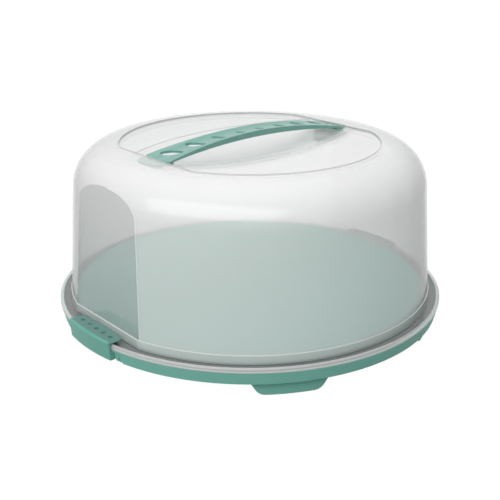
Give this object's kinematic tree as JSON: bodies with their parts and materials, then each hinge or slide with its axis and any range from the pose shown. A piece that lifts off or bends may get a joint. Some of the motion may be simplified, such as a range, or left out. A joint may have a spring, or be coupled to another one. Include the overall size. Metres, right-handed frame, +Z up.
{
  "type": "round cake carrier",
  "caption": "Round cake carrier: a footed tray, a clear domed hood with a carrying strap, and hinged latches at the sides that hook over the hood's rim.",
  "frame": {"origin": "on the surface it stands on, on the carrier's vertical axis", "axes": "+Z up; +X along the strap, from one latch to the other; +Y across it"},
  "size_m": [0.3502, 0.3449, 0.1694],
  "materials": {
    "green_plastic": "satin moulded polypropylene",
    "clear_plastic": "translucent polypropylene, slightly hazy"
  },
  "bodies": {
    "tray": {"base_tray": "green_plastic"},
    "lifted_hood": {"hood": "clear_plastic", "carry_strap": "green_plastic"},
    "left_latch": {"latch_left": "green_plastic"},
    "right_latch": {"latch_right": "green_plastic"}
  },
  "joints": [
    {"name": "hood_lift", "type": "slide", "parent": "tray", "child": "lifted_hood", "axis": [0, 0, 1], "range_m": [0, 0.2]},
    {"name": "left_latch_hinge", "type": "hinge", "parent": "tray", "child": "left_latch", "pos_m": [-0.167, 0, 0.0165], "axis": [0, -1, 0], "range_deg": [0, 105]},
    {"name": "right_latch_hinge", "type": "hinge", "parent": "tray", "child": "right_latch", "pos_m": [0.167, 0, 0.0165], "axis": [0, 1, 0], "range_deg": [0, 105]}
  ]
}
